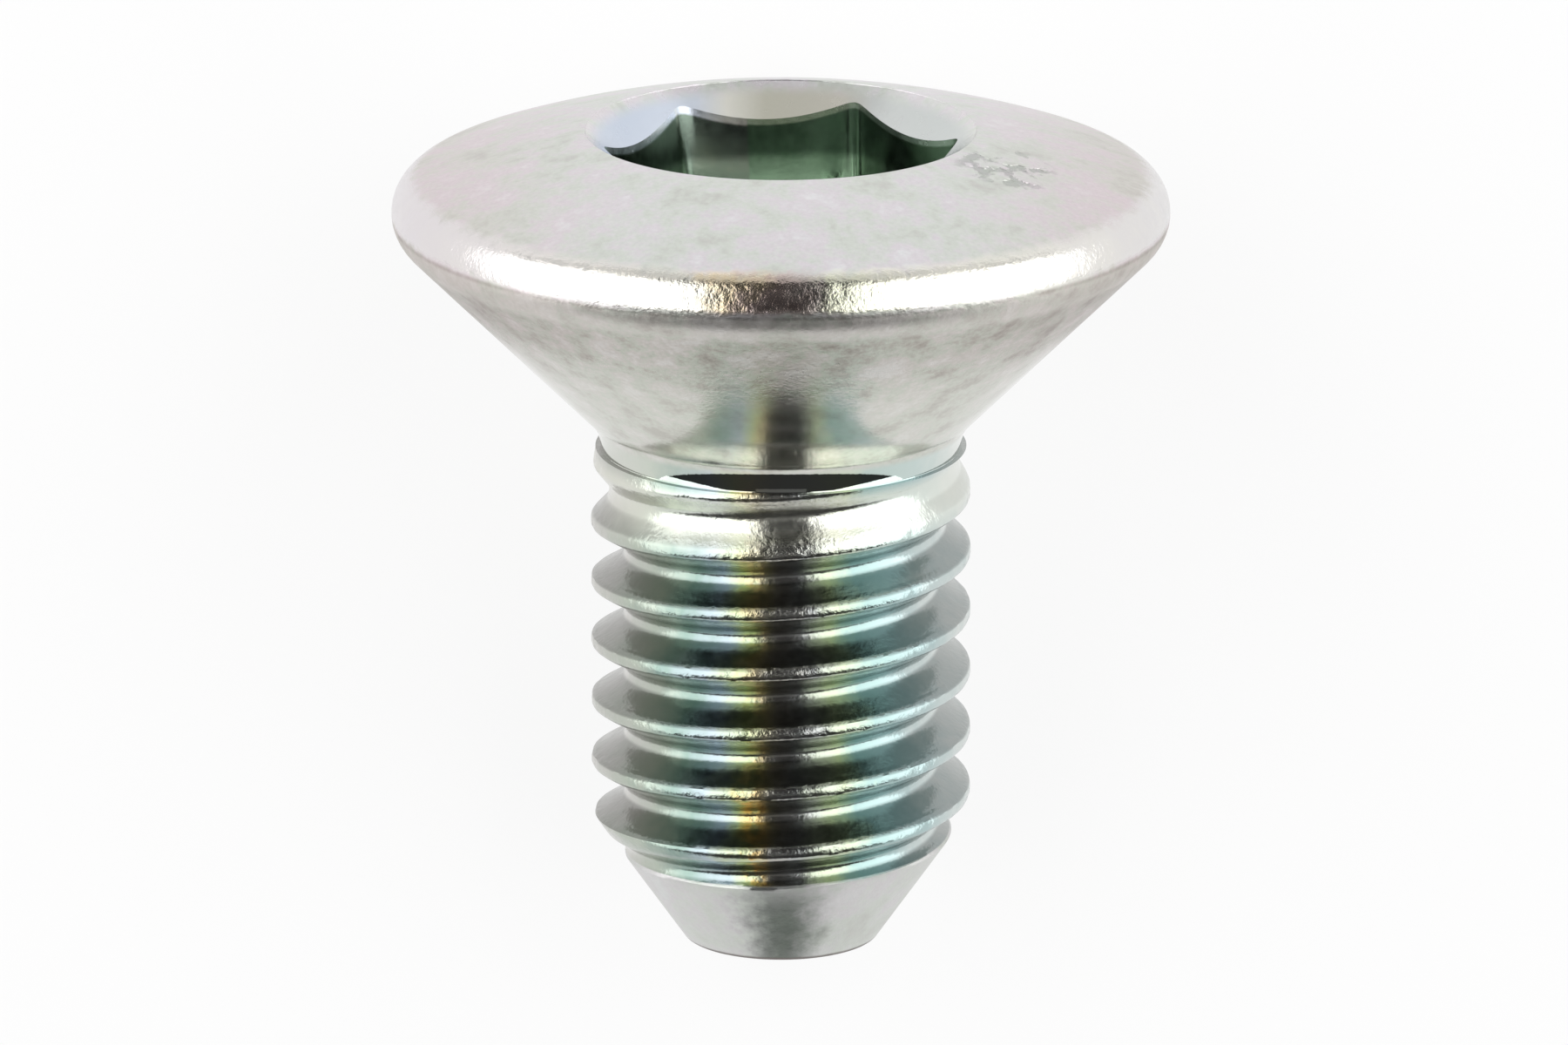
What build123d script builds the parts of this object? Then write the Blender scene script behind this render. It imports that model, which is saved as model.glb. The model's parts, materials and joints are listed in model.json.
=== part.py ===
from build123d import *

import os
from math import acos, asin, atan2, ceil, cos, degrees, hypot, pi, radians, sin, sqrt, tan

# A raised countersunk screw with a hexagon socket, thread M5 x 0.8, zinc plated steel.
# It is drawn upright first: the Z axis is the screw's own axis, zero height is the widest
# plane of the head, the crown is above it and the shank below. At the end it is laid on its
# side, as it comes to rest, on the rim of the head and one ridge of the thread.
# All lengths are in millimetres and all angles in degrees.

# Head
head_diameter = 10.0  # over the rounded rim
rim_radius = 0.5  # rounding between the crown and the seat
crown_radius = 13.3  # the raised top is part of a ball
seat_angle = 90.0  # included angle of the countersunk seat

# Hexagon socket
socket_size = 4.0  # across flats
socket_depth = 1.95  # from the edge of the mouth to the edge of the floor
socket_turn = 5.0  # where its corners point, about the screw's axis
socket_corner = 0.22  # rounding between its walls
mouth_diameter = 5.04  # outer edge of the lead-in chamfer
mouth_angle = 106.0  # included angle of the lead-in chamfer
floor_angle = 160.0  # shallow point that the punch leaves in the floor

# Neck and shank
length = 9.8  # from the widest plane to the end
neck_diameter = 4.72
neck_fillet = 0.55  # between the seat and the neck
neck_length = 0.05  # plain stretch between the fillet and the flat step to the shank
point_angle = 70.0  # included angle of the point
point_diameter = 2.48  # flat end of the point
point_edge = 0.1  # rounding of that end

# Thread, right-handed
thread_diameter = 4.9  # over the crests, rolled a little under 5
thread_pitch = 0.8
crest_flat = 0.134  # width of a crest
flank_angle = 60.0
root_flat = 0.16  # width of the groove's bottom
fade_turns = 1.75  # turns over which the groove dies out under the head
fade_rise = 0.07  # how far above the shank's upper edge it has died out
groove_turn = 117.0  # where it has died out, about the screw's axis
tool_clearance = 0.05  # how far a cutting shape stands outside what it cuts

# Radii and half angles
head_r = head_diameter / 2
mouth_r = mouth_diameter / 2
neck_r = neck_diameter / 2
crest_r = thread_diameter / 2
point_r = point_diameter / 2
seat_half = radians(seat_angle / 2)
point_half = radians(point_angle / 2)
flank_half = radians(flank_angle / 2)

# The rim is a circle in section, which the crown and the seat both touch
rim_r = head_r - rim_radius
crown_z = -sqrt((crown_radius - rim_radius) ** 2 - rim_r**2)
crown_edge = atan2(-crown_z, rim_r)
seat_r = rim_r + rim_radius * cos(seat_half)
seat_z = -rim_radius * sin(seat_half)

# The edge of the mouth lies on the crown, and the lead-in chamfer slopes in from it
mouth_z = crown_z + sqrt(crown_radius**2 - mouth_r**2)
chamfer_z = mouth_z - mouth_r / tan(radians(mouth_angle / 2))

# Heights down the shank
neck_z = seat_z - (seat_r - neck_r) / tan(seat_half)
shank_z = neck_z - neck_fillet * tan(seat_half / 2) - neck_length
groove_z = shank_z + fade_rise
shoulder_z = -length + (crest_r - point_r) / tan(point_half)


def head():
    """Lead-in chamfer, crown, rim, seat and neck: one profile turned about the axis."""
    crown_start = degrees(acos(mouth_r / crown_radius))
    with BuildPart() as turned:
        with BuildSketch(Plane.YZ):
            with BuildLine():
                Line((0, shank_z), (0, chamfer_z))
                Line((0, chamfer_z), (mouth_r, mouth_z))
                CenterArc((0, crown_z), crown_radius, crown_start, degrees(crown_edge) - crown_start)
                CenterArc((rim_r, 0), rim_radius, degrees(crown_edge), -degrees(crown_edge + seat_half))
                FilletPolyline(
                    (seat_r, seat_z),
                    (neck_r, neck_z),
                    (neck_r, shank_z),
                    (0, shank_z),
                    radius=[neck_fillet, 0],
                )
            make_face()
        revolve(axis=Axis.Z)
    return turned.part


def drive_socket():
    """What the punch takes out of the head: a hexagon with rounded corners and a shallow pointed floor."""
    flat_r = socket_size / 2
    floor_z = mouth_z - socket_depth
    point_depth = flat_r / tan(radians(floor_angle / 2))
    hexagon = RegularPolygon(flat_r, 6, major_radius=False, rotation=socket_turn)
    hexagon = fillet(hexagon.vertices(), socket_corner)
    walls = Pos(0, 0, floor_z) * extrude(hexagon, socket_depth)
    upwards = (Align.CENTER, Align.CENTER, Align.MIN)
    return walls + Pos(0, 0, floor_z - point_depth) * Cone(0, flat_r, point_depth, align=upwards)


def thread_groove():
    """The groove between the crests: a flat-bottomed V swept up a helix, which winds outwards at its top."""
    deep_r = crest_r - (thread_pitch - crest_flat - root_flat) / 2 / tan(flank_half)
    outer_r = crest_r + tool_clearance
    half_width = root_flat / 2 + (outer_r - deep_r) * tan(flank_half)

    turns = ceil((length + groove_z) / thread_pitch)
    bottom_z = groove_z - turns * thread_pitch
    even_turns = turns - fade_turns
    even_height = even_turns * thread_pitch

    def fading(share):
        angle = 2 * pi * (even_turns + share * fade_turns)
        radius = deep_r + share * (outer_r - deep_r)
        height = bottom_z + even_height + share * fade_turns * thread_pitch
        return Vector(radius * cos(angle), radius * sin(angle), height)

    steps = ceil(fade_turns * 24)
    outward = [fading(step / steps) for step in range(steps + 1)]
    even = Helix(thread_pitch, even_height, deep_r, center=(0, 0, bottom_z))
    fade = Spline(*outward, tangents=[even % 1, outward[-1] - outward[-2]])
    with BuildSketch(Plane.XZ) as section:
        with BuildLine():
            Polyline(
                (deep_r, bottom_z - root_flat / 2),
                (deep_r, bottom_z + root_flat / 2),
                (outer_r, bottom_z + half_width),
                (outer_r, bottom_z - half_width),
                close=True,
            )
        make_face()
    axis_line = Line((0, 0, bottom_z), (0, 0, groove_z))
    groove = sweep(section.sketch, path=Wire([even.edge(), fade.edge()]), binormal=axis_line.edge())
    return Rot(Z=groove_turn) * groove


def shank():
    """The round bar under the head, with the groove cut down it and its end turned to a point."""
    downwards = (Align.CENTER, Align.CENTER, Align.MAX)
    bar = Pos(0, 0, shank_z) * Cylinder(crest_r, length + shank_z, align=downwards)
    clear_r = crest_r + tool_clearance
    with BuildPart() as pointed:
        with BuildSketch(Plane.YZ):
            with BuildLine():
                FilletPolyline(
                    (0, -length),
                    (point_r, -length),
                    (clear_r, shoulder_z + tool_clearance / tan(point_half)),
                    (clear_r, shank_z + tool_clearance),
                    (0, shank_z + tool_clearance),
                    radius=[point_edge, 0, 0],
                )
                Line((0, shank_z + tool_clearance), (0, -length))
            make_face()
        revolve(axis=Axis.Z)
    return (bar - thread_groove()) & pointed.part


def rest_lean():
    """How far the head end of the axis tips up when the rim and a ridge of the thread touch the floor."""
    floor_turn = 90
    top_ridge_z = groove_z + thread_pitch * ((floor_turn - groove_turn) / 360 - 1 / 2)
    steps = 1000
    leans = []
    for step in range(steps):
        z = shank_z - (length + shank_z) * step / steps
        off_crest = abs((z - top_ridge_z + thread_pitch / 2) % thread_pitch - thread_pitch / 2)
        ridge_r = crest_r - max(0, off_crest - crest_flat / 2) / tan(flank_half)
        r = min(ridge_r, point_r + (z + length) * tan(point_half))
        leans.append(atan2(rim_r - r, -z) + asin(rim_radius / hypot(rim_r - r, z)))
    return min(leans)


def laid_down(upright):
    """Turned so that its head points to +Y, and set on the floor about the middle of its box."""
    lying = Rot(X=degrees(rest_lean()) - 90) * upright
    box = lying.bounding_box()
    return Pos(0, -box.center().Y, -box.min.Z) * lying


screw = laid_down(head() - drive_socket() + shank())
os.makedirs("parts", exist_ok=True)
export_step(screw, "parts/socket_screw.step")
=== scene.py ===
import json
from math import acos, atan2, cos, floor, hypot, pi, radians, sin, sqrt, tan

import bmesh
import bpy
from mathutils import Matrix, Vector, noise


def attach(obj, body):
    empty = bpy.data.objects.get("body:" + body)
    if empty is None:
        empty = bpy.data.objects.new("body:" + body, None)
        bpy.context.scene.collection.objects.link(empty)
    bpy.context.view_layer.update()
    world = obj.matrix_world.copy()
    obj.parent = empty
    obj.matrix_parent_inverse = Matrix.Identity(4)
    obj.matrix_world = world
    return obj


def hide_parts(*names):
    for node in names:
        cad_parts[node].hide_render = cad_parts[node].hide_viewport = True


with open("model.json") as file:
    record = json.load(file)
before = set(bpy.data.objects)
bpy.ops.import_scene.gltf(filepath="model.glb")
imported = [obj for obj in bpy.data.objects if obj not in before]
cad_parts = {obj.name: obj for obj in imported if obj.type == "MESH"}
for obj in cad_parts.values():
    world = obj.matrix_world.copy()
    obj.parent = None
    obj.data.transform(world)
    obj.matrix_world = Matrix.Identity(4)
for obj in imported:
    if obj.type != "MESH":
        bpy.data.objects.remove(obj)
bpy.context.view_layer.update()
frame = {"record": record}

# ---- The screw: head and neck ----
# The head is cold forged in one with the shank: a low crown, a rounded rim and a 90 degree seat
# that runs into the neck by a small fillet. Lengths are in millimetres about the screw's own
# axis, with zero height at the widest plane of the head, until the whole is laid on the floor.
columns = 240
head_r = 5.0
rim_round = 0.5
crown_round = 13.3
seat_half = radians(45)
neck_r = 2.33
neck_fillet = 0.55
step_r = 2.39
shank_z = -3.125
hexagon_turn = radians(5)
hexagon_r = 2.0
hexagon_depth = 1.95
mouth_r = 2.52
lead_in = tan(radians(37))
floor_slope = tan(radians(10))

rim_r = head_r - rim_round
crown_z = -sqrt((crown_round - rim_round) ** 2 - rim_r ** 2)
crown_edge = atan2(-crown_z, rim_r)
seat_r = rim_r + rim_round * cos(seat_half)
seat_z = -rim_round * sin(seat_half)
neck_z = seat_z - (seat_r - neck_r) / tan(seat_half)
fillet_drop = neck_fillet * tan(seat_half / 2)
mouth_z = crown_z + sqrt(crown_round ** 2 - mouth_r ** 2)
hexagon_z = mouth_z - hexagon_depth


def arc(centre, radius, start, end, steps):
    """Radius and height of points along an arc, with its first point left out."""
    angles = [start + (end - start) * (step + 1) / steps for step in range(steps)]
    return [(centre[0] + radius * cos(a), centre[1] + radius * sin(a)) for a in angles]


def line(start, end, steps):
    """Radius and height of points along a straight line, with its first point left out."""
    across, up = end[0] - start[0], end[1] - start[1]
    shares = [(step + 1) / steps for step in range(steps)]
    return [(start[0] + across * share, start[1] + up * share) for share in shares]


def turn(metal, profile):
    """Spins a line of points about the screw's axis, from a corner of the hexagon round to it."""
    verts = [metal.verts.new((r * cos(hexagon_turn), r * sin(hexagon_turn), z)) for r, z in profile]
    edges = [metal.edges.new(pair) for pair in zip(verts, verts[1:])]
    bmesh.ops.spin(metal, geom=verts + edges, axis=(0, 0, 1), cent=(0, 0, 0),
                   angle=2 * pi, steps=columns, use_merge=True)


metal = bmesh.new()
floor_z = hexagon_z - hexagon_r * floor_slope
wall_top = (hexagon_r, mouth_z - (mouth_r - hexagon_r) * lead_in)
fillet_centre = (neck_r + neck_fillet, neck_z - fillet_drop)
seat_end = (fillet_centre[0] - neck_fillet * cos(seat_half),
            fillet_centre[1] + neck_fillet * sin(seat_half))
head_line = [(0, floor_z)]
head_line += line(head_line[-1], (hexagon_r, hexagon_z), steps=6)
head_line += line(head_line[-1], wall_top, steps=8)
head_line += line(head_line[-1], (mouth_r, mouth_z), steps=5)
head_line += arc((0, crown_z), crown_round, acos(mouth_r / crown_round), crown_edge, steps=20)
head_line += arc((rim_r, 0), rim_round, crown_edge, -seat_half, steps=14)
head_line += line(head_line[-1], seat_end, steps=24)
head_line += arc(fillet_centre, neck_fillet, pi - seat_half, pi, steps=6)
head_line += line(head_line[-1], (neck_r, shank_z), steps=1)
head_line += line(head_line[-1], (step_r, shank_z), steps=2)
turn(metal, head_line)

# ---- The screw: hexagon socket ----
# A punch drives the hexagon into the crown for a 4 mm key. The turned lead-in chamfer meets its six
# walls in shallow scallops, and its floor is left slightly pointed.
corner_sharpness = 46
sides = 6
hair = 1e-6


def hexagon_at(angle):
    """Distance from the axis to the hexagon's wall, with its corners slightly rounded."""
    half_sides = sides / 2
    across = [max(0, cos(angle - hexagon_turn - pi / sides - side * pi / half_sides))
              for side in range(sides)]
    return hexagon_r / sum(share ** corner_sharpness for share in across) ** (1 / corner_sharpness)


for vert in metal.verts:
    r = hypot(vert.co.x, vert.co.y)
    if r < hair or r > mouth_r - hair or vert.co.z < floor_z - hair:
        continue
    wall_r = hexagon_at(atan2(vert.co.y, vert.co.x))
    wall_z = mouth_z - (mouth_r - wall_r) * lead_in
    if r > hexagon_r + hair:
        new_r = wall_r + (mouth_r - wall_r) * (r - hexagon_r) / (mouth_r - hexagon_r)
        vert.co.z = mouth_z - (mouth_r - new_r) * lead_in
    else:
        new_r = wall_r * r / hexagon_r
        if vert.co.z > hexagon_z:
            share = (vert.co.z - hexagon_z) / (wall_top[1] - hexagon_z)
            vert.co.z = hexagon_z + (wall_z - hexagon_z) * share
    vert.co.x *= new_r / r
    vert.co.y *= new_r / r

# ---- The screw: shank, thread and point ----
# The right-handed M5 x 0.8 thread is rolled, so its crests and roots are rounded. It fades out
# under the head over two turns, and at the other end it runs off a 70 degree point.
length = 9.71
crest_r = 2.45
pitch = 0.8
crest_flat = 0.134
flank_angle = radians(30)
flank = tan(flank_angle)
root_round = 0.14
groove_turn = radians(202)
fade_turns = 2.0
fade_rise = 0.265
point_r = 1.24
point_half = radians(35)
point_slope = tan(point_half)
point_edge = 0.1
crest_soft = 0.05
wear_depth = 0.02
wear_spots = 5
rows = 24

sharp_r = crest_r - (pitch - crest_flat) / 2 / flank
root_centre_r = sharp_r + root_round / sin(flank_angle)
root_touch = root_round * cos(flank_angle)


def soft_least(a, b, softness):
    """The smaller of two radii, with the edge where they cross rounded over."""
    near = max(softness - abs(a - b), 0) / softness
    return min(a, b) - near * near * softness / 4


def shank_at(angle, z):
    """Radius of the threaded shank and its point at an angle and a height."""
    turned = (angle - groove_turn) / (2 * pi)
    turns_down = (shank_z + fade_rise - z) / pitch + turned
    groove = floor(turns_down + 0.5)
    off_centre = abs(turns_down - groove) * pitch
    if off_centre < root_touch:
        groove_r = root_centre_r - sqrt(root_round ** 2 - off_centre ** 2)
    else:
        groove_r = sharp_r + off_centre / flank
    rolled = min(1, max(0, (groove - turned) / fade_turns))
    r = crest_r - rolled * (crest_r - soft_least(groove_r, crest_r, crest_soft))
    r -= (crest_r - step_r) * max(0, 1 - (shank_z - z) / pitch) ** 2
    wear = noise.noise(Vector((r * cos(angle), r * sin(angle), z)) * wear_spots)
    r -= wear_depth * max(0, wear) * min(1, off_centre / (pitch / 2)) ** 4
    return soft_least(r, point_r + (z + length) * point_slope, crest_soft)


# The shank's skin is one strip wound from the neck to the point, with its edge at mid crest and its
# ends tapered to nothing, so that it starts and ends at level heights. Where the run-out groove
# crosses the upper ring, the skin lies up to 0.09 mm inside the step's edge, and that seam is open
crest_turn = groove_turn + 2 * pi * (1 / 2 - fade_rise / pitch)
start_column = round((crest_turn - hexagon_turn) / (2 * pi) * columns)
start_angle = hexagon_turn + 2 * pi * start_column / columns
strip_turns = 6
skin_end = shank_z - pitch * (strip_turns + 1)
strip_columns = (strip_turns + 2) * columns
strip = bmesh.ops.create_grid(metal, x_segments=strip_columns, y_segments=rows, size=1)
for vert in strip["verts"]:
    turned = (vert.co.x + 1) / 2 * strip_columns / columns - 1
    share = (vert.co.y + 1) / 2
    angle = start_angle - 2 * pi * turned
    upper = min(shank_z, shank_z - pitch * turned)
    lower = max(skin_end, shank_z - pitch * turned - pitch)
    z = upper + (lower - upper) * share
    r = shank_at(angle, z)
    vert.co = (r * cos(angle), r * sin(angle), z)

skin_end_r = point_r + (skin_end + length) * point_slope
edge_back = point_edge * tan((pi / 2 - point_half) / 2)
edge_centre = (point_r - edge_back, -length + point_edge)
edge_start = (edge_centre[0] + point_edge * cos(point_half),
              edge_centre[1] - point_edge * sin(point_half))
point_line = [(skin_end_r, skin_end)]
point_line += line(point_line[-1], edge_start, steps=6)
point_line += arc(edge_centre, point_edge, -point_half, -pi / 2, steps=4)
point_line += line(point_line[-1], (0, -length), steps=4)
turn(metal, point_line)

merge_gap = 1e-4
speck = 1e-5
bmesh.ops.remove_doubles(metal, verts=metal.verts[:], dist=merge_gap)
bmesh.ops.dissolve_degenerate(metal, edges=metal.edges[:], dist=speck)
bmesh.ops.recalc_face_normals(metal, faces=metal.faces[:])

# The screw lies on its rim and a ridge of its thread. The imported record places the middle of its
# neck and says which way its axis leans
mounts = {mount["name"]: mount for mount in frame["record"]["mounts"]}
neck = mounts["neck"]
towards_head = -Vector(neck["axis"])
neck_mid = -3.1
mm = 0.001
sharp_edge = radians(35)
lean = atan2(towards_head.z, towards_head.y)
origin = Vector(neck["pos_m"]) - towards_head * neck_mid * mm
laid = Matrix.Translation(origin) @ Matrix.Rotation(lean - pi / 2, 4, "X") @ Matrix.Scale(mm, 4)
bmesh.ops.transform(metal, matrix=laid, verts=metal.verts[:])

for face in metal.faces:
    face.smooth = True
for edge in metal.edges:
    edge.smooth = len(edge.link_faces) == 2 and edge.calc_face_angle() < sharp_edge
mesh = bpy.data.meshes.new("screw")
metal.to_mesh(mesh)
metal.free()
screw = bpy.data.objects.new("screw", mesh)
bpy.context.collection.objects.link(screw)

# ---- The screw: zinc plating ----
# The steel is plated with zinc and passivated, which leaves faint rainbow tints. The pressed crown,
# the seat and the point are dull and mottled, the rim and the rolled thread are bright, and the
# seat is burnished near the neck.
class Shade:
    """A value or colour that varies over a surface. Sums of such values add Math nodes."""

    def __init__(self, tree, socket=None):
        self.tree = tree
        self.socket = socket

    def node(self, kind, settings, sockets, output=0):
        """A node of any kind: first its settings, then the values or links of its sockets."""
        made = self.tree.nodes.new(kind)
        for name, value in settings.items():
            if name == "stops":
                stops = made.color_ramp.elements
                stops.remove(stops[1])
                stops[0].position, stops[0].color = value[0][0], (*value[0][1], 1)
                for place, colour in value[1:]:
                    stops.new(place).color = (*colour, 1)
            else:
                setattr(made, name, value)
        for name, value in sockets.items():
            if isinstance(value, Shade):
                self.tree.links.new(value.socket, made.inputs[name])
            else:
                made.inputs[name].default_value = value
        return Shade(self.tree, made.outputs[output])

    def maths(self, operation, *values):
        return self.node("ShaderNodeMath", {"operation": operation}, dict(enumerate(values)))

    def __add__(self, other):
        return self.maths("ADD", self, other)

    def __radd__(self, other):
        return self.maths("ADD", other, self)

    def __sub__(self, other):
        return self.maths("SUBTRACT", self, other)

    def __rsub__(self, other):
        return self.maths("SUBTRACT", other, self)

    def __mul__(self, other):
        return self.maths("MULTIPLY", self, other)

    def __rmul__(self, other):
        return self.maths("MULTIPLY", other, self)

    def __truediv__(self, other):
        return self.maths("DIVIDE", self, other)

    def __rtruediv__(self, other):
        return self.maths("DIVIDE", other, self)

    def __pow__(self, other):
        return self.maths("POWER", self, other)

    def __rpow__(self, other):
        return self.maths("POWER", other, self)

    def __abs__(self):
        return self.maths("ABSOLUTE", self)

    def rise(self, low, high):
        """Runs smoothly from 0 to 1 as this goes from low to high."""
        sockets = {"Value": self, "From Min": low, "From Max": high}
        return self.node("ShaderNodeMapRange", {"interpolation_type": "SMOOTHSTEP"}, sockets)

    def fall(self, low, high):
        """Runs smoothly from 1 to 0 as this goes from low to high."""
        return 1 - self.rise(low, high)

    def ramp(self, stops):
        """A colour that goes from stop to stop as this grows."""
        return self.node("ShaderNodeValToRGB", {"stops": stops}, {0: self})

    def mix(self, low, high):
        """One colour where this is 0 and another where it is 1."""
        return self.node("ShaderNodeMix", {"data_type": "RGBA"}, {0: self, 6: low, 7: high}, 2)

    def times(self, colour, share=1.0):
        """This colour multiplied by another, in full or by a share."""
        settings = {"data_type": "RGBA", "blend_type": "MULTIPLY"}
        return self.node("ShaderNodeMix", settings, {0: share, 6: self, 7: colour}, 2)

    def noise(self, scale, detail, stretch=(1, 1, 1)):
        """Even noise about this place, with features of about 1 / scale."""
        place = self.node("ShaderNodeMapping", {}, {"Vector": self, "Scale": stretch})
        sockets = {"Vector": place, "Scale": scale, "Detail": detail, "Roughness": 0.6}
        return self.node("ShaderNodeTexNoise", {}, sockets)


zinc = bpy.data.materials.new("zinc_plating")
zinc.use_nodes = True
tree = zinc.node_tree
plating = Shade(tree).node("ShaderNodeTexCoord", {}, {}, "Object")
place = plating.node("ShaderNodeMapping", {"vector_type": "TEXTURE"}, {
    "Vector": plating, "Location": origin, "Rotation": (lean - pi / 2, 0, 0),
    "Scale": (mm, mm, mm)})
x, y, z = (place.node("ShaderNodeSeparateXYZ", {}, {0: place}, axis) for axis in "XYZ")
r = (x * x + y * y) ** 0.5
side = x / r

grain = place.noise(scale=16, detail=3)
mottle = place.noise(scale=5, detail=4)
flecks = place.noise(scale=3.2, detail=5, stretch=(1, 1, 1.7))
cloud = place.noise(scale=1.2, detail=3)
ragged = mottle - 0.5
wander = cloud - 0.5

# Each finish lies between heights or radii over which it comes in or goes out
thread_top = (-2.90, -2.78)
top_turn_foot, top_turn_head = (-4.1, -3.6), (-3.3, -3.1)
crest = (2.33, 2.40)
cone_skin, cone_top = (-0.06, -0.03), (-8.30, -8.22)
end_edge = (-length + 0.03, -length + 0.07)
rim_inside, rim_underside = (4.62, 4.84), (-0.06, 0.04)
under_rim_foot, under_rim_top, under_rim_inside = (-0.50, -0.36), (-0.12, -0.06), (4.0, 4.1)
seat_foot, seat_top, burnish_top = (-3.12, -3.10), (-0.1, 0.0), (-2.0, -0.7)
socket_foot, socket_edge, wall_top_edge = (-2.2, -2.0), (2.50, 2.52), (0.06, 0.10)

cone_r = (z + length) * point_slope + point_r
on_cone = (r - cone_r).rise(*cone_skin) * (z + wander * 0.1).fall(*cone_top)
on_end = (z + wander * 0.06).fall(*end_edge)
on_thread = z.fall(*thread_top) * (1 - on_cone)
on_crest = on_thread * r.rise(*crest)
on_rim = (r + ragged * 0.3).rise(*rim_inside) * (z + ragged * 0.16).rise(*rim_underside)
under_rim = (z.rise(*under_rim_foot) * z.fall(*under_rim_top) * (1 - on_rim)
             * r.rise(*under_rim_inside))
on_seat = z.fall(*seat_top) * z.rise(*seat_foot)
burnished = (z + wander * 0.3).fall(*burnish_top) * on_seat
in_mouth = r.fall(*socket_edge) * z.rise(*socket_foot)
lead_in_z = mouth_z - (mouth_r - r) * lead_in
inside = in_mouth * (lead_in_z - z).rise(*wall_top_edge)
bright = on_thread.maths("MAXIMUM", on_thread, on_rim)

# The dull head: a soft mottle, with a lilac film towards its sides
crown_tint = (mottle * 0.35 + cloud * 0.65).ramp([
    (0.34, (0.58, 0.58, 0.55)), (0.44, (0.66, 0.69, 0.64)), (0.50, (0.70, 0.70, 0.69)),
    (0.56, (0.72, 0.68, 0.71)), (0.66, (0.77, 0.77, 0.78))])
seat_mottle = place.noise(scale=1.7, detail=4, stretch=(1, 1, 1.4))
seat_tint = (seat_mottle * 0.7 + flecks * 0.15 + grain * 0.15).ramp([
    (0.36, (0.32, 0.29, 0.26)), (0.43, (0.42, 0.40, 0.36)), (0.49, (0.47, 0.49, 0.43)),
    (0.54, (0.52, 0.49, 0.46)), (0.62, (0.58, 0.56, 0.54))])
lilac_film = (0.96, 0.89, 0.89, 1)
seat_film = (0.80, 0.78, 0.78, 1)
lilac = (abs(x) + wander * 2).rise(1.8, 4.8)
fine_grain = 1 + (grain - 0.5) * 0.22
dull_tint = on_seat.mix(crown_tint, seat_tint)
dull_tint = dull_tint.times(lilac_film, lilac).times(seat_film, lilac * on_seat).times(fine_grain)

# The bright rim and thread: bands of tint from side to side, which wander a little
band = side * 0.5 + 0.5 + wander * 0.16 + ragged * 0.08
# On the rim the darker brown stops in the middle of the band are painted reflection of the dark gap
# overhead; the rest are the film's tints
rim_tint_and_reflection = band.ramp([
    (0.00, (0.74, 0.70, 0.72)), (0.38, (0.80, 0.78, 0.70)), (0.44, (0.86, 0.72, 0.50)),
    (0.48, (0.60, 0.48, 0.44)), (0.54, (0.60, 0.54, 0.50)), (0.58, (0.82, 0.83, 0.66)),
    (0.68, (0.84, 0.82, 0.72)), (1.00, (0.74, 0.72, 0.72))])
thread_tint = band.ramp([
    (0.00, (0.56, 0.55, 0.52)), (0.12, (0.45, 0.50, 0.43)), (0.22, (0.26, 0.36, 0.32)),
    (0.31, (0.42, 0.50, 0.54)), (0.38, (0.56, 0.64, 0.38)), (0.44, (0.62, 0.60, 0.42)),
    (0.49, (0.46, 0.45, 0.41)), (0.56, (0.46, 0.48, 0.47)), (0.66, (0.54, 0.62, 0.44)),
    (0.74, (0.34, 0.48, 0.46)), (0.86, (0.42, 0.54, 0.54)), (1.00, (0.66, 0.70, 0.68))])

# A broken gold line runs down the thread, strongest by the point
gold_tint = (0.86, 0.60, 0.22, 1)
gold_line = abs(side + 0.17 + wander * 0.12).fall(0.03, 0.12)
by_point = z.fall(-8.4, -6.0)
gold = gold_line * (0.25 + 0.6 * by_point) * (mottle + wander).rise(0.40, 0.56)
thread_tint = gold.mix(thread_tint, gold_tint)

# Painted shade darkens the thread's flanks, most those facing the head, and a painted highlight
# makes the first turn below the neck paler
normal = place.node("ShaderNodeTexCoord", {}, {}, "Normal")
facing_up = place.node("ShaderNodeVectorMath", {"operation": "DOT_PRODUCT"},
                       {0: normal, 1: towards_head}, "Value")
upper_flank_shade = facing_up.rise(0.30, 0.70)
lower_flank_shade = facing_up.fall(-0.75, -0.35)
thread_tint = thread_tint.times(1 - upper_flank_shade * 0.46 - lower_flank_shade * 0.16)
# Painted highlight: the first turn is paler, most at its front and back
painted_turn_highlight = (0.88, 0.88, 0.78, 1)
top_turn_highlight = (z + wander * 0.4).rise(*top_turn_foot) * z.fall(*top_turn_head)
thread_tint = (top_turn_highlight * (0.8 - abs(side) * 0.4)).mix(thread_tint, painted_turn_highlight)
tint = on_thread.mix(on_rim.mix(dull_tint, rim_tint_and_reflection), thread_tint)

# The lead-in is bluish at one side and beige at the back, with a painted highlight left of the
# back, and the walls are greenish with painted shade and light
lead_in_film_and_highlight = (x * 0.2 + 0.5).ramp([
    (0.10, (0.58, 0.64, 0.74)), (0.28, (0.70, 0.75, 0.84)), (0.36, (0.84, 0.83, 0.76)),
    (0.46, (0.62, 0.61, 0.52)), (0.66, (0.64, 0.62, 0.55)), (0.74, (0.62, 0.64, 0.63)),
    (1.00, (0.58, 0.61, 0.60))])
# Painted shade darkens the upper walls towards the mouth, and painted light makes them paler deeper
# down
lit_deep_wall, shaded_high_wall = (0.54, 0.63, 0.54, 1), (0.18, 0.23, 0.19, 1)
tint = (in_mouth * r.fall(2.28, 2.50)).mix(tint, lead_in_film_and_highlight)
tint = inside.mix(tint, (z + wander * 0.1).rise(0.10, 0.28).mix(lit_deep_wall, shaded_high_wall))

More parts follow.
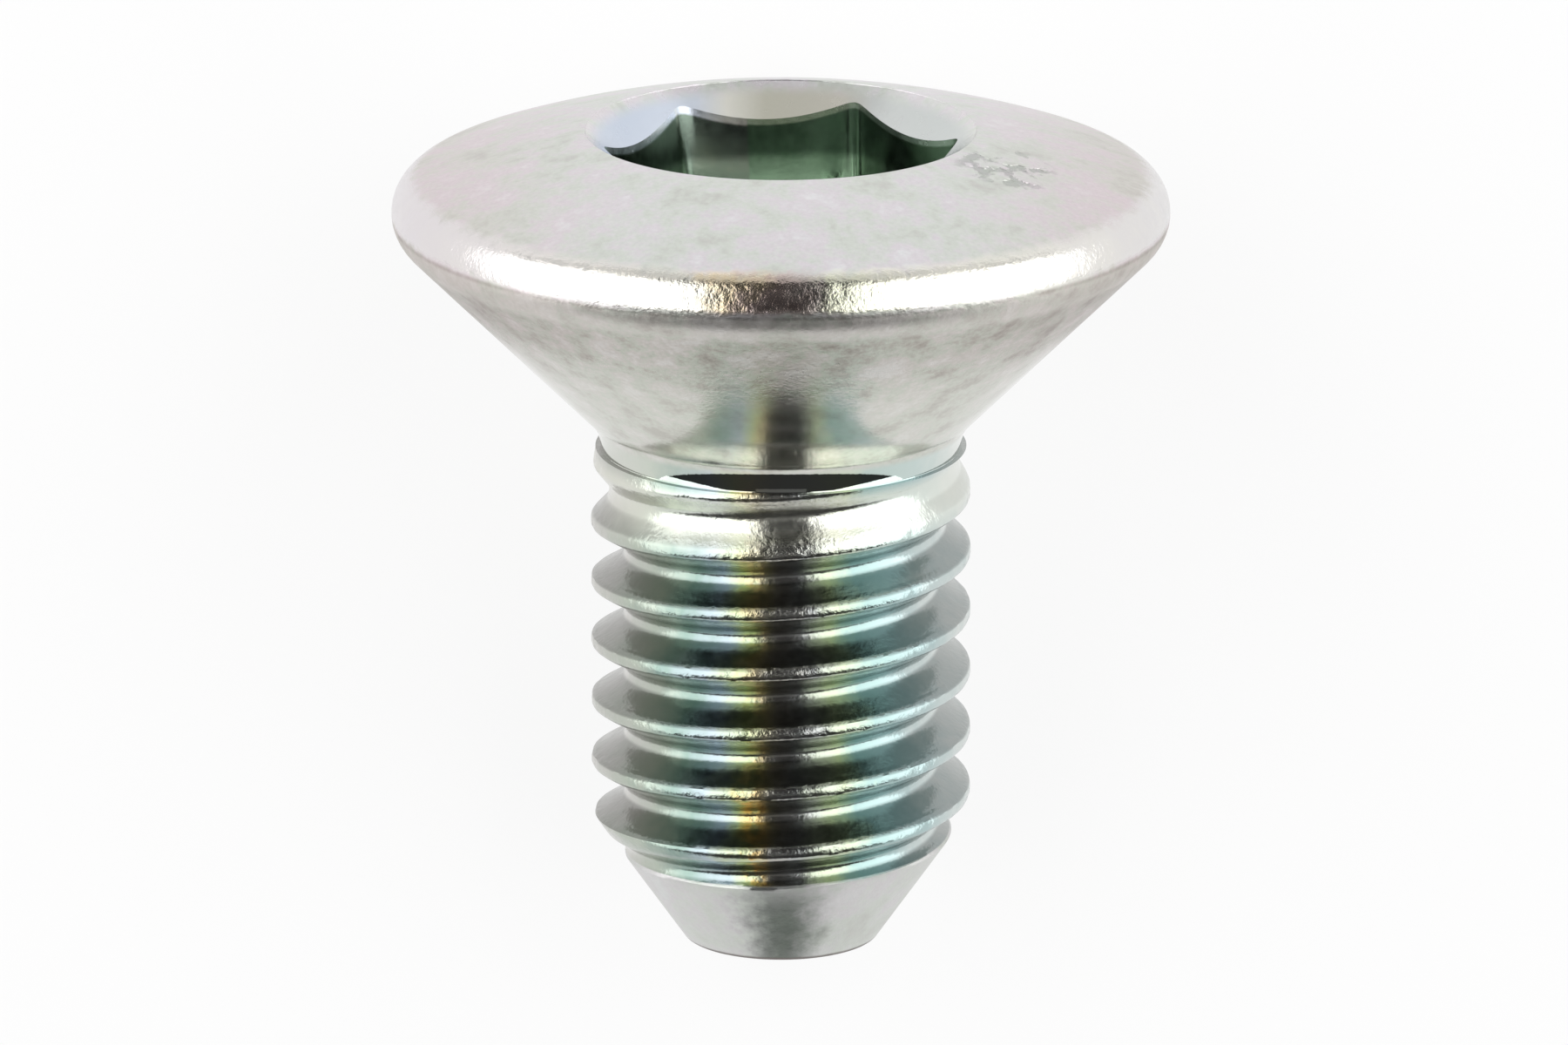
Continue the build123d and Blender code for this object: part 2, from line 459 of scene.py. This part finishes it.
# The point is dull, with painted shade: a dark patch on one side of it and a dark end
cone_tint = (0.50, 0.52, 0.49, 1)
point_shade_tint = (0.11, 0.13, 0.11, 1)
end_shade_tint = (0.16, 0.14, 0.13, 1)
point_shade_width = abs(side - 0.02 + wander * 0.35 + ragged * 0.3).fall(0.05, 0.42)
point_shade_side = (y / r).fall(-0.4, 0.0)
point_shade = on_cone * point_shade_width * point_shade_side * (1 - z.rise(-8.9, -8.3) * 0.6)
tint = (on_cone * 0.45).mix(tint, cone_tint)
tint = (point_shade * (0.75 + flecks * 0.3)).mix(tint, point_shade_tint)
tint = on_end.mix(tint, end_shade_tint)

# The seat is painted paler just under the rim, as painted light, and is paler where it is burnished
under_rim_light_tint, burnished_tint = (0.86, 0.84, 0.80, 1), (0.80, 0.83, 0.76, 1)
tint = (under_rim * 0.35).mix(tint, under_rim_light_tint)
tint = (burnished * 0.35).mix(tint, burnished_tint)

# A few small dents lie on the crown beside the socket, painted darker where they dip as painted
# shade
nick_shade_tint = (0.26, 0.29, 0.26, 1)
nick_depth = 4
nick_centre = (2.85, -1.3, 0.95)
nick_place = place.node("ShaderNodeVectorMath", {"operation": "DISTANCE"},
                        {0: place, 1: nick_centre}, "Value")
nick_field = 1 - place.noise(scale=3.6, detail=2)
nicks = nick_place.fall(0.5, 0.8) * nick_field.fall(0.38, 0.50) * r.rise(2.6, 2.7)
tint = (nicks * 0.45).mix(tint, nick_shade_tint)

plain_rough = 0.38
relief_depth = 0.009
rough = (plain_rough + ragged * 0.25 * (1 - burnished) - on_seat * 0.06 - burnished * 0.21
         - bright * 0.19 - inside * 0.08 - in_mouth * 0.14 + under_rim * 0.12)
bumpy = ((1 - on_thread * 0.1 + on_crest * 1.1 + on_rim * 0.7) * (1 - burnished * 0.9)
         * (1 - in_mouth * 0.85))
height = (mottle * 0.6 + grain * 0.4) * bumpy - nicks * nick_depth
relief = place.node("ShaderNodeBump", {}, {"Height": height, "Distance": relief_depth * mm})
shader = tree.nodes["Principled BSDF"]
shader.inputs["Metallic"].default_value = 1
tree.links.new(tint.socket, shader.inputs["Base Color"])
tree.links.new(rough.socket, shader.inputs["Roughness"])
tree.links.new(relief.socket, shader.inputs["Normal"])
mesh.materials.append(zinc)
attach(screw, "root")
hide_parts("socket_screw")

# ---- Floor ----
# A plain white table that the screw lies on. It glows a little, as paper lit from behind does,
# so that the screw mirrors a white table, and it keeps a faint shadow.
table_reach = 0.6
glow_share = 0.85
table = bmesh.new()
bmesh.ops.create_grid(table, x_segments=1, y_segments=1, size=table_reach)
table_mesh = bpy.data.meshes.new("table")
table.to_mesh(table_mesh)
table.free()
table_top = bpy.data.objects.new("table", table_mesh)
bpy.context.collection.objects.link(table_top)
white = bpy.data.materials.new("white_table")
white.use_nodes = True
paper = Shade(white.node_tree)
rays = ("Is Camera Ray", "Is Glossy Ray", "Is Transmission Ray")
camera_ray, glossy_ray, clear_ray = (paper.node("ShaderNodeLightPath", {}, {}, ray) for ray in rays)
matt = paper.node("ShaderNodeBsdfDiffuse", {}, {"Color": (0.9, 0.9, 0.9, 1)})
glow = paper.node("ShaderNodeEmission", {}, {"Color": (1, 1, 1, 1), "Strength": 1.0})
glowing = (camera_ray + glossy_ray + clear_ray) * glow_share
surface = paper.node("ShaderNodeMixShader", {}, {0: glowing, 1: matt, 2: glow})
output = white.node_tree.nodes["Material Output"]
white.node_tree.links.new(surface.socket, output.inputs["Surface"])
table_mesh.materials.append(white)

# ---- Light ----
# Two tall soft boxes lean over the table from its sides, with a dark gap between them overhead.
# A low wide one beyond the head lights its crown, and a small weak one hangs beyond the point.
def soft_box(name, place, aim, size, power):
    """A soft box at a place, turned to its aim, that shines on the screw but isn't seen itself."""
    light = bpy.data.lights.new(name, "AREA")
    light.shape = "RECTANGLE"
    light.size, light.size_y = size
    light.energy = power
    item = bpy.data.objects.new(name, light)
    item.location = place
    item.rotation_euler = (Vector(aim) - Vector(place)).to_track_quat("-Z", "Y").to_euler()
    item.visible_camera = False
    bpy.context.collection.objects.link(item)


soft_box("left_box", place=(-0.102, 0.0325, 0.072), aim=(0, 0.0325, -0.002),
         size=(0.235, 0.18), power=0.26)
soft_box("right_box", place=(0.100, 0.0325, 0.072), aim=(0, 0.0325, 0),
         size=(0.235, 0.18), power=0.26)
soft_box("far_box", place=(0, 0.16, 0.045), aim=(0, 0, 0.005), size=(0.24, 0.09), power=0.045)
soft_box("near_box", place=(0, -0.085, 0.125), aim=(0, 0, 0.005), size=(0.08, 0.05), power=0.0012)
studio = bpy.data.worlds.new("studio")
studio.use_nodes = True
studio.node_tree.nodes["Background"].inputs["Color"].default_value = (0.04, 0.04, 0.04, 1)
bpy.context.scene.world = studio
bpy.context.scene.view_settings.view_transform = "Standard"

# ---- Camera ----
# A long lens from far off looks down on the lying screw, with the point at the bottom of the
# picture, and a little from the crown's side, so that the socket shows.
view_rise = radians(16.1)
aim_z = -4.173
aside_mm = 0.04
across_mm = 20.23
lens = 413
sensor = 36
distance = across_mm * lens / sensor * mm
aim = origin + towards_head * aim_z * mm + Vector((aside_mm * mm, 0, 0))
towards_camera = Vector((0, sin(view_rise - lean), cos(view_rise - lean)))
camera = bpy.data.cameras.new("camera")
camera.lens = lens
camera.sensor_width = sensor
camera.clip_start = 0.001
camera_item = bpy.data.objects.new("camera", camera)
camera_item.matrix_world = (Matrix.Translation(aim + towards_camera * distance)
                            @ Matrix.Rotation(lean - view_rise, 4, "X"))
bpy.context.collection.objects.link(camera_item)
bpy.context.scene.camera = camera_item
